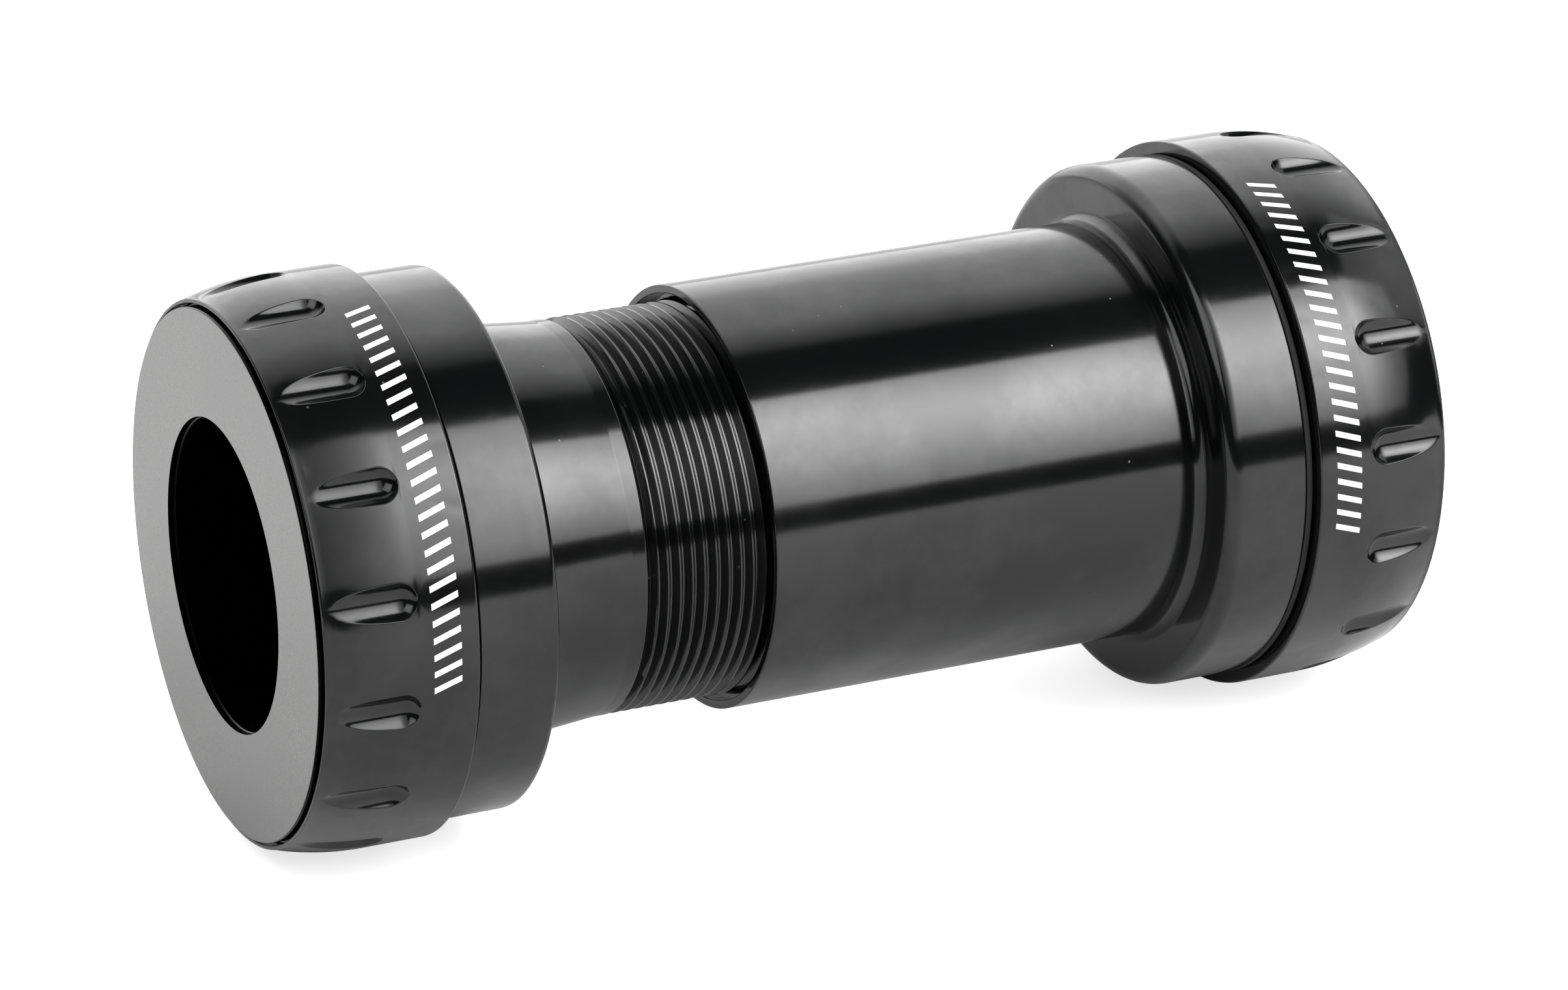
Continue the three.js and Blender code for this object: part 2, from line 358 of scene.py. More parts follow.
@dataclass(frozen=True)
class Rubber(Finish):
    """Moulded black rubber with a faint bloom."""

    name: str = "seal_rubber"

    def paint(self, shader: Shader) -> None:
        """Bloom lightens the colour where the noise is high.

        Args:
            shader: the material's node tree.
        """
        bloom = shader.noise(700.0, 4.0)
        colour = shader.blend(bloom, grey(0.008), grey(0.022, 0.03))
        closure = shader.node("ShaderNodeBsdfPrincipled", {}, {
            "Base Color": colour, "Roughness": 0.26 + 0.2 * bloom, "IOR": 1.5,
            "Normal": shader.bump(bloom, 0.00002, 0.5)}, "BSDF")
        shader.surface(closure)


@dataclass(frozen=True)
class GroundSteel(Finish):
    """Ground and honed bearing steel, with fine marks that run round the axis."""

    name: str = "bearing_steel"

    def paint(self, shader: Shader) -> None:
        """Marks that are stretched round the axis vary the roughness and the height.

        Args:
            shader: the material's node tree.
        """
        marks = shader.noise(7000.0, 2.0, (0.03, 1, 0.03))
        stain = shader.noise(240.0, 3.0)
        colour = shader.blend(stain, grey(0.50, 0.01), grey(0.62, -0.01))
        closure = shader.node("ShaderNodeBsdfPrincipled", {}, {
            "Base Color": colour, "Metallic": 1.0, "Roughness": 0.16 + 0.16 * marks,
            "Normal": shader.bump(marks, 0.000004, 0.5)}, "BSDF")
        shader.surface(closure)


@dataclass(frozen=True)
class PolishedCeramic(Finish):
    """Polished dark ceramic with a faint mottle."""

    name: str = "ceramic_ball"

    def paint(self, shader: Shader) -> None:
        """A mottle in the colour under a clear polish.

        Args:
            shader: the material's node tree.
        """
        mottle = shader.noise(3200.0, 4.0)
        closure = shader.node("ShaderNodeBsdfPrincipled", {}, {
            "Base Color": shader.blend(mottle, grey(0.012), grey(0.035, -0.03)),
            "Roughness": 0.06 + 0.05 * mottle, "IOR": 2.0}, "BSDF")
        shader.surface(closure)


@dataclass(frozen=True)
class Nylon(Finish):
    """Natural moulded nylon, slightly cloudy."""

    name: str = "cage_nylon"

    def paint(self, shader: Shader) -> None:
        """Flow clouds in the colour and a fine moulded grain.

        Args:
            shader: the material's node tree.
        """
        cloud = shader.noise(350.0, 3.0)
        grain = shader.noise(6000.0, 2.0)
        closure = shader.node("ShaderNodeBsdfPrincipled", {}, {
            "Base Color": shader.blend(cloud, (0.60, 0.55, 0.44, 1), (0.72, 0.68, 0.58, 1)),
            "Roughness": 0.42 + 0.15 * grain, "Normal": shader.bump(grain, 0.00001, 0.5)}, "BSDF")
        shader.surface(closure)


@dataclass(frozen=True)
class WhiteInk(Finish):
    """White pad-printed ink, a little thin in places."""

    name: str = "white_ink"

    def paint(self, shader: Shader) -> None:
        """The ink's cover and roughness vary with a fine noise.

        Args:
            shader: the material's node tree.
        """
        thin = shader.noise(1500.0, 4.0)
        closure = shader.node("ShaderNodeBsdfPrincipled", {}, {
            "Base Color": shader.blend(thin, grey(0.80), grey(0.90, 0.01)),
            "Roughness": 0.38 + 0.2 * thin, "Normal": shader.bump(thin, 0.000006, 0.5)}, "BSDF")
        shader.surface(closure)


ANODISING = BlackAnodising()
COVER_SATIN_PAINTED_SHADE = SatinCoverPaintedShade()
RUBBER = Rubber()
STEEL = GroundSteel()
CERAMIC = PolishedCeramic()
NYLON = Nylon()
INK = WhiteInk()


# ---- outlines and grids ----------------------------------------------------------------------


def rounded(corners: Sequence[tuple], steps: int = 3) -> np.ndarray:
    """Rounds the corners of an outline.

    A corner with a cut is replaced by a parabola (1-t)^2 A + 2t(1-t) C + t^2 B between the two
    points A and B that lie the cut's length from the corner C, and gets one more point beyond
    each of them, which keeps the shading of the long faces flat.

    Args:
        corners: (radius, height, cut) for each corner, in order round the outline.
        steps: stretches in each rounded corner.

    Returns:
        The outline's points, one row each.
    """
    points = np.array([corner[:2] for corner in corners], float)
    cuts = np.array([corner[2] for corner in corners], float)
    done = [points[0]]
    for index in range(1, len(points) - 1):
        before, at, after = points[index - 1], points[index], points[index + 1]
        if cuts[index] <= 0:
            done.append(at)
            continue
        back, ahead = before - at, after - at
        back_length, ahead_length = np.linalg.norm(back), np.linalg.norm(ahead)
        cut = min(cuts[index], 0.45 * back_length, 0.45 * ahead_length)
        start, end = at + back / back_length * cut, at + ahead / ahead_length * cut
        t = np.linspace(0, 1, steps + 1)[:, None]
        arc = (1 - t) ** 2 * start + 2 * t * (1 - t) * at + t ** 2 * end
        hold = min(0.08, 0.04 * min(back_length, ahead_length) + 0.002)
        done.append(start + back / back_length * hold)
        done.extend(arc)
        done.append(end + ahead / ahead_length * hold)
    done.append(points[-1])
    return np.array(done)


def write_mesh(name: str, points: np.ndarray, quads: np.ndarray,
               weld: bool = False) -> bpy.types.Object:
    """Makes an object from points in millimetres and faces of four points.

    Args:
        name: the piece's name.
        points: one point for each row, in millimetres.
        quads: four point numbers for each row.
        weld: merges points that coincide, drops the faces that this leaves with no area, and
            fills a hole of three edges where a thread starts.

    Returns:
        The new object, smooth shaded where its faces meet at less than the sharp angle.
    """
    mesh = bpy.data.meshes.new(name)
    mesh.vertices.add(len(points))
    mesh.vertices.foreach_set("co", (points * MM).astype(np.float32).ravel())
    mesh.loops.add(quads.size)
    mesh.loops.foreach_set("vertex_index", quads.astype(np.int32).ravel())
    mesh.polygons.add(len(quads))
    mesh.polygons.foreach_set("loop_start", np.arange(0, quads.size, 4, dtype=np.int32))
    mesh.update(calc_edges=True)
    if weld:
        body = bmesh.new()
        body.from_mesh(mesh)
        bmesh.ops.remove_doubles(body, verts=body.verts, dist=WELD_DISTANCE)
        bmesh.ops.dissolve_degenerate(body, edges=body.edges, dist=WELD_DISTANCE)
        bmesh.ops.holes_fill(body, edges=body.edges, sides=3)
        body.to_mesh(mesh)
        body.free()
    mesh.polygons.foreach_set("use_smooth", np.ones(len(mesh.polygons), bool))
    mesh.set_sharp_from_angle(angle=SHARP_ANGLE)
    mesh.update()
    made = bpy.data.objects.new(name, mesh)
    bpy.context.scene.collection.objects.link(made)
    return made


def loop_quads(rows: int, columns: int, offset: int = 0) -> np.ndarray:
    """Faces of a grid that closes on itself both ways.

    Args:
        rows: rows of points.
        columns: points in a row.
        offset: number of the grid's first point.

    Returns:
        Four point numbers for each face.
    """
    row, column = np.meshgrid(np.arange(rows), np.arange(columns), indexing="ij")
    up, along = (row + 1) % rows, (column + 1) % columns
    quads = np.stack([row * columns + column, row * columns + along,
                      up * columns + along, up * columns + column], axis=-1)
    return quads.reshape(-1, 4) + offset


def is_anticlockwise(outline: np.ndarray) -> bool:
    """Whether a closed outline of (radius, y) runs anticlockwise, so that its faces look out."""
    r, y = outline[:, 0], outline[:, 1]
    return float(np.sum(r * np.roll(y, -1) - np.roll(r, -1) * y)) > 0


def around(r: np.ndarray, y: np.ndarray, angle: np.ndarray) -> np.ndarray:
    """Points at a radius, a place along the axis and an angle from +Z towards +X."""
    return np.stack([r * np.sin(angle), y, r * np.cos(angle)], axis=-1)


def turned(name: str, outline: np.ndarray, columns: int = 192) -> bpy.types.Object:
    """Carries a closed outline round the axis: x = r sin a, z = r cos a.

    Args:
        name: the piece's name.
        outline: (radius, y) for each point, in millimetres.
        columns: steps round the axis.

    Returns:
        The new object.
    """
    if not is_anticlockwise(outline):
        outline = outline[::-1]
    angle = np.linspace(0, TURN, columns, endpoint=False)[None, :]
    r, y = outline[:, :1] + 0 * angle, outline[:, 1:] + 0 * angle
    points = around(r, y, angle).reshape(-1, 3)
    return write_mesh(name, points, loop_quads(len(outline), columns))


def dress(piece: bpy.types.Object, finish: Finish, slot: str, body: str, *nodes: str) -> None:
    """Finishes a piece and ties it to the frame.

    Args:
        piece: the finished mesh.
        finish: what its surface is made of.
        slot: the name of a material slot, which is not used.
        body: the body that it rides on.
        nodes: the nodes that it stands for, if any.
    """
    piece.data.materials.clear()
    piece.data.materials.append(finish.material())
    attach(piece, body)
    if nodes:
        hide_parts(*nodes)
    LOG.info("%s rides on %s", piece.name, body)


# ---- sub-assemblies ----------------------------------------------------------------------------


@dataclass
class Notches:
    """Ball-nosed tool slots round the outer edge of a flange, parallel to the axis."""

    cutter_r: float = 1.6
    centre_r: float = 22.7
    end: float = 6.0
    edge_soften: float = 0.07
    least_half_angle: float = math.radians(0.7)
    edge_band: float = math.radians(0.24)

    def reach(self, height: np.ndarray) -> np.ndarray:
        """Cutter radius at a height: full up to the ball's centre, then the ball's own circle."""
        past = np.maximum(self.end - height, 0)
        return np.sqrt(np.maximum(self.cutter_r ** 2 - past ** 2, 0))

    def half_angle(self, r: np.ndarray, height: np.ndarray) -> np.ndarray:
        """Angle at which the cutter's circle meets the flange's radius, by the cosine rule."""
        cosine = (r ** 2 + self.centre_r ** 2 - self.reach(height) ** 2) / (2 * r * self.centre_r)
        return np.arccos(np.clip(cosine, -1, 1))

    def columns(self, half: np.ndarray) -> np.ndarray:
        """Places a sector's columns, packed along the notch's edges.

        Args:
            half: the notch's half angle on each row.

        Returns:
            Each column's angle from the notch's middle, one row for each half angle.
        """
        half = np.maximum(half, self.least_half_angle)
        band = np.minimum(self.edge_band, half / 3)
        sector = math.pi / SECTORS
        inner = [(half - band) * part for part in (0.2, 0.4, 0.6, 0.8, 1.0)]
        edge = [half - band / 2, half, half + band / 2, half + band]
        rest = sector - half - band
        outer = [half + band + rest * part for part in (0.33, 0.67)]
        right = np.stack(inner + edge + outer, axis=-1)
        middle = np.zeros((len(half), 1))
        border = np.full((len(half), 1), -sector)
        return np.concatenate([border, -right[:, ::-1], middle, right], axis=1)

    def cut(self, r: np.ndarray, height: np.ndarray, off: np.ndarray) -> np.ndarray:
        """Cuts the notch: the smaller of the flange's and the cutter's radius, its edge eased.

        Where the two differ by d, less than the softening s, (s - d)^2 / 4s more comes off.

        Args:
            r: the flange's radius at each point.
            height: each point's height.
            off: each point's angle from its notch's middle.

        Returns:
            The radius that is left.
        """
        reach = self.reach(height)
        inside = reach ** 2 - (self.centre_r * np.sin(off)) ** 2
        floor = self.centre_r * np.cos(off) - np.sqrt(np.maximum(inside, 0))
        floor = np.where(inside > 0, floor, r + 1)
        soft = self.edge_soften
        eased = np.maximum(soft - np.abs(r - floor), 0) ** 2 / (4 * soft)
        return np.minimum(r, floor) - eased


@dataclass
class Thread:
    """A 60 degree screw thread of one pitch, held as rows that climb round the axis.

    A row is a radius at a phase of the pitch: the root's where its part is nought and the
    crest's where it is one. It keeps that radius all the way round while it climbs one pitch,
    and it fades into the root over a part of a pitch at the thread's two ends.
    """

    crest: float
    root: float
    start: float
    turns: int
    phases: Sequence[float] = (0.0, 0.06, 0.45, 0.55, 0.94)
    parts: Sequence[float] = (1.0, 1.0, 0.0, 0.0, 1.0)
    fade: float = 0.3

    @property
    def rows_per_pitch(self) -> int:
        """Rows in one pitch."""
        return len(self.phases)

    def rows(self) -> tuple[np.ndarray, np.ndarray]:
        """Lays out the rows.

        Returns:
            Each row's y where its angle is nought, and its part of the way to the crest.
        """
        whole = np.arange(-1, self.turns)[:, None]
        y = self.start + PITCH * (whole + np.array(self.phases)[None, :])
        part = np.broadcast_to(np.array(self.parts), y.shape)
        return np.append(y.ravel(), self.start + PITCH * self.turns), np.append(part.ravel(), 1.0)

    def surface(self, angle: np.ndarray) -> tuple[np.ndarray, np.ndarray]:
        """Works out the helix: y = row y + pitch a / turn, kept between the thread's ends.

        Args:
            angle: the columns' angles, as one row.

        Returns:
            Radius and y of every row at every angle.
        """
        row_y, part = self.rows()
        stop = self.start + PITCH * self.turns
        y = np.clip(row_y[:, None] + PITCH * angle / TURN, self.start, stop)
        shown = np.clip(np.minimum(y - self.start, stop - y) / (self.fade * PITCH), 0, 1)
        return self.root + (self.crest - self.root) * part[:, None] * shown, y


@dataclass
class Flange:
    """The outboard end of a cup: barrelled rim, bearing pocket, cover recess and seal groove."""

    outer_r: float = 22.0
    body_r: float = 21.0
    rim_r: float = 21.0
    rim_start: float = 11.3
    depth: float = 11.65
    barrel_start: float = 5.0
    recess_r: float = 20.65
    recess_floor: float = 10.4
    pocket_r: float = 18.7
    pocket_floor: float = 3.1
    lip_r: float = 16.4
    lip_end: float = 1.5
    groove_r: float = 20.4
    groove_width: float = 0.9
    edge_cut: float = 0.08
    corner_cut: float = 0.16
    rows_by_notch_end: int = 18
    rows_by_notch: int = 16
    notches: Notches = field(default_factory=Notches)

    def barrel(self, height: np.ndarray) -> np.ndarray:
        """Shapes the outer surface: a cylinder, then an arc that drops to the rim's radius.

        Args:
            height: the heights to work it out at.

        Returns:
            The outer radius at each height.
        """
        run, drop = self.rim_start - self.barrel_start, self.outer_r - self.rim_r
        arc = (run ** 2 + drop ** 2) / (2 * drop)
        past = np.clip(height - self.barrel_start, 0, run)
        return self.outer_r - arc + np.sqrt(arc ** 2 - past ** 2)

    def outside(self) -> list[tuple]:
        """Corners from the seal groove to the front rim, close together beside the notches.

        Returns:
            (radius, height, cut) for each corner.
        """
        first = self.notches.end - self.notches.cutter_r
        swing = np.linspace(0, math.pi / 2, self.rows_by_notch_end)
        heights = np.concatenate([
            first + (self.notches.end - first) * (1 - np.cos(swing)),
            np.linspace(self.notches.end, self.rim_start, self.rows_by_notch)[1:]])
        cut = self.edge_cut
        corners = [
            (self.body_r, -self.groove_width, cut), (self.groove_r, -self.groove_width, cut),
            (self.groove_r, 0.0, cut), (self.outer_r, 0.0, self.corner_cut),
            (self.outer_r, first - 0.5, 0)]
        corners += [(float(r), float(h), 0) for r, h in zip(self.barrel(heights), heights)]
        return corners + [(self.rim_r - 0.03, self.depth - 0.02, 0.2)]

    def inside(self) -> list[tuple]:
        """Corners from the front rim down through the recess and the bearing's pocket."""
        return [
            (self.recess_r, self.depth, 0.06), (self.recess_r, self.recess_floor, 0.1),
            (self.pocket_r, self.recess_floor, 0.2), (self.pocket_r, self.pocket_floor, 0.15),
            (self.lip_r, self.pocket_floor, 0.2), (self.lip_r, self.lip_end, 0.15)]


@dataclass
class Cup:
    """One cup as a single closed surface. A subclass says what its tube looks like."""

    side: Side
    shoulder: float
    notch_phase: float
    thread: Thread
    flange: Flange = field(default_factory=Flange)
    bore_top: float = -1.5

    def tube_outside(self) -> list[tuple]:
        """Corners from the thread or the mouth up to the flange."""
        raise NotImplementedError

    def tube_inside(self) -> list[tuple]:
        """Corners from the pocket's lip down the bore."""
        raise NotImplementedError

    def outline(self) -> np.ndarray:
        """All of the cup's outline but its thread, as (radius, height)."""
        corners = self.tube_outside() + self.flange.outside() + self.flange.inside()
        return rounded(corners + self.tube_inside())

    def angles(self, outline: np.ndarray) -> np.ndarray:
        """Spaces the columns: packed along the notches on the flange's outside, and even
        elsewhere, with a few rows between to pass from one to the other.

        Args:
            outline: (radius, height) for each row.

        Returns:
            On each row, the angles from the notch's middle of one sector's columns, and the
            angles of all the columns.
        """
        sector = TURN / SECTORS
        even = np.linspace(-sector / 2, sector / 2, COLUMNS_PER_SECTOR, endpoint=False)
        notches = self.flange.notches
        first = notches.end - notches.cutter_r - 0.8
        outer = (outline[:, 0] > self.flange.rim_r - 0.2) & (outline[:, 1] > first)
        weight = np.convolve(outer.astype(float), np.ones(3) / 3, mode="same")[:, None]
        packed = notches.columns(notches.half_angle(outline[:, 0], outline[:, 1]))
        off = weight * packed + (1 - weight) * even[None, :]
        starts = np.arange(SECTORS) * sector
        return off, (starts[None, :, None] + off[:, None, :]).reshape(len(outline), -1)

    def points(self) -> tuple[np.ndarray, np.ndarray]:
        """Works out every point of the cup.

        Returns:
            The outline's grid of points and the thread's, one row of points for each row.
        """
        outline = self.outline()
        off, angle = self.angles(outline)
        height = np.repeat(outline[:, 1:], SECTORS * COLUMNS_PER_SECTOR, axis=1)
        r = np.repeat(outline[:, :1], SECTORS * COLUMNS_PER_SECTOR, axis=1)
        off_all = np.tile(off, (1, SECTORS))
        r = self.flange.notches.cut(r, height, off_all)
        y = self.side.value * (self.shoulder + height)
        even = angle[-1]
        thread_r, thread_y = self.thread.surface((even - even[0])[None, :])
        grid = around(r, y, angle + math.radians(self.notch_phase))
        turns = np.broadcast_to(even + math.radians(self.notch_phase), thread_r.shape)
        screw = around(thread_r, thread_y, turns)
        return grid, screw

    def build(self) -> bpy.types.Object:
        """Joins the thread's rows to the outline's rows and closes the surface.

        Both outlines meet the thread's +Y end first, so its rows are turned round. A thread
        row's last point joins the first point of the row that is one pitch further on.

        Returns:
            The new object.
        """
        grid, screw = self.points()
        full = np.concatenate([grid, screw[::-1]])
        rows, columns = full.shape[:2]
        quads = loop_quads(rows, columns).reshape(rows, columns, 4)
        first, last = len(grid), rows - 1
        here = np.arange(first, last) - self.thread.rows_per_pitch
        low = np.clip(here, first, last) * columns
        high = np.clip(here + 1, first, last) * columns
        quads[first:last, -1, 1] = low
        quads[first:last, -1, 2] = high
        quads = quads.reshape(-1, 4)
        if self.is_inside_out():
            quads = quads[:, ::-1]
        return write_mesh(f"{self.side.word}_cup_shell", full.reshape(-1, 3), quads, weld=True)

    def is_inside_out(self) -> bool:
        """Whether the outline runs clockwise once it is on its side."""
        return self.side is Side.LEFT


@dataclass
class LeftCup(Cup):
    """The left cup: a flared neck, a relief band and a male thread on its tube."""

    neck_r: float = 16.2
    neck_length: float = 15.02
    relief_r: float = 15.42
    relief_end: float = 16.15
    thread_start: float = 16.6
    tube_length: float = 33.0
    bore_r: float = 13.6
    body_length: float = 6.75

    def tube_outside(self) -> list[tuple]:
        """Relief band, neck and body. The outline starts where the thread ends."""
        root = self.thread.root
        return [
            (root, -self.thread_start + 0.02, 0), (root + 0.05, -self.thread_start + 0.08, 0.02),
            (self.relief_r, -self.relief_end, 0.08), (self.relief_r, -self.neck_length, 0.04),
            (self.neck_r, -self.body_length, 0.35),
            (self.flange.body_r, -self.body_length, 0.42)]

    def tube_inside(self) -> list[tuple]:
        """Bore and the tube's end, up to the thread."""
        root = self.thread.root
        return [
            (self.bore_r, self.bore_top, 0.5), (self.bore_r, -self.tube_length, 0.25),
            (root - 0.2, -self.tube_length, 0.1), (root, -self.tube_length + 0.3, 0.05),
            (root, -self.tube_length + 0.38, 0)]


@dataclass
class RightCup(Cup):
    """The right cup: a long plain sleeve with a female thread in its mouth."""

    sleeve_r: float = 16.65
    sleeve_length: float = 43.8
    relief_start: float = 9.02
    relief_r: float = 16.53
    fillet_r: float = 0.95
    face_outer_r: float = 19.75
    body_corner: float = 1.25
    body_start: float = 6.27
    bore_r: float = 14.8
    bore_end: float = 24.0
    mouth_r: float = 16.0
    mouth_depth: float = 0.9
    thread_end: float = 12.0

    def tube_outside(self) -> list[tuple]:
        """Mouth, sleeve, shallow relief, fillet, and the step up to the body.

        The relief is half a cosine wave, the fillet a quarter circle that turns up into the
        step's face, and the body's corner a quarter circle that turns the other way.

        Returns:
            (radius, height, cut) for each corner.
        """
        bottom = -self.body_start - self.body_corner + 0.2 - self.fillet_r
        wave = np.linspace(0, 1, 10)
        middle, swell = (self.sleeve_r + self.relief_r) / 2, (self.sleeve_r - self.relief_r) / 2
        drop = self.relief_start + bottom
        relief = zip(middle + swell * np.cos(math.pi * wave),
                     -self.relief_start + drop * wave)
        swing = np.linspace(0, math.pi / 2, 9)
        fillet = zip(self.relief_r + self.fillet_r * (1 - np.cos(swing)),
                     bottom + self.fillet_r * np.sin(swing))
        corner = zip(self.face_outer_r + self.body_corner * np.sin(swing),
                     -self.body_start - self.body_corner * np.cos(swing))
        corners = [
            (self.mouth_r, -self.sleeve_length + self.mouth_depth, 0),
            (self.mouth_r, -self.sleeve_length, 0.12), (self.sleeve_r, -self.sleeve_length, 0.12),
            (self.sleeve_r, -self.relief_start - 0.1, 0)]
        curves = list(relief) + list(fillet)[1:] + list(corner)
        corners += [(float(r), float(height), 0) for r, height in curves]
        return corners + [(self.flange.body_r, -self.body_start + 0.1, 0)]

    def tube_inside(self) -> list[tuple]:
        """Bore, and the relief behind the thread."""
        return [
            (self.bore_r, self.bore_top, 0.5), (self.bore_r, -self.bore_end, 0.2),
            (self.thread.root, -self.bore_end - 0.8, 0.2),
            (self.thread.root, -self.sleeve_length + self.thread_end, 0)]


@dataclass
class Mark:
    """A row of plain slanted bars, printed round a flange."""

    side: Side
    shoulder: float
    low: float = 1.45
    high: float = 3.6
    outer_r: float = 22.0
    first: float = 12.0
    last: float = 97.0
    bars: int = 25
    lean: float = 1.9
    fill: float = 0.37
    ink: float = 0.012

    def build(self) -> bpy.types.Object:
        """Makes the bars. Each is a thin closed sheet: angle a = a0 + w u + lean v, height from
        v, and the two faces at the flange's radius plus and minus the ink's thickness.

        Returns:
            The new object.
        """
        u, v = np.meshgrid(np.linspace(0, 1, 5), np.linspace(0, 1, 5), indexing="ij")
        step = (self.last - self.first) / self.bars
        points, quads = [], []
        count = u.size
        cell, edge = self.sheet_faces(5, 5)
        for index in range(self.bars):
            angle = np.radians(self.first + step * index + step * self.fill * u + self.lean * v)
            y = self.side.value * (self.shoulder + self.low + (self.high - self.low) * v)
            top = around(self.outer_r + self.ink + 0 * u, y, angle).reshape(-1, 3)
            base = around(self.outer_r - self.ink + 0 * u, y, angle).reshape(-1, 3)
            points += [top, base]
            start = 2 * count * index
            one, two = edge[:, 0], edge[:, 1]
            wall = np.stack([one, one + count, two + count, two], 1)
            quads += [cell + start, cell[:, ::-1] + start + count, wall + start]
        faces = np.concatenate(quads)
        if self.side is Side.LEFT:
            faces = faces[:, ::-1]
        return write_mesh(f"{self.side.word}_flange_mark", np.concatenate(points), faces)

    @staticmethod
    def sheet_faces(rows: int, columns: int) -> tuple[np.ndarray, np.ndarray]:
        """Numbers the faces of an open grid.

        Args:
            rows: rows of points.
            columns: points in a row.

        Returns:
            Four point numbers for each face, and the border's edges as pairs in order.
        """
        n = np.arange(rows * columns).reshape(rows, columns)
        cell = np.stack([n[:-1, :-1], n[1:, :-1], n[1:, 1:], n[:-1, 1:]], -1).reshape(-1, 4)
        ring = np.concatenate([n[:-1, 0], n[-1, :-1], n[:0:-1, -1], n[0, :0:-1]])
        return cell, np.stack([ring, np.roll(ring, -1)], 1)


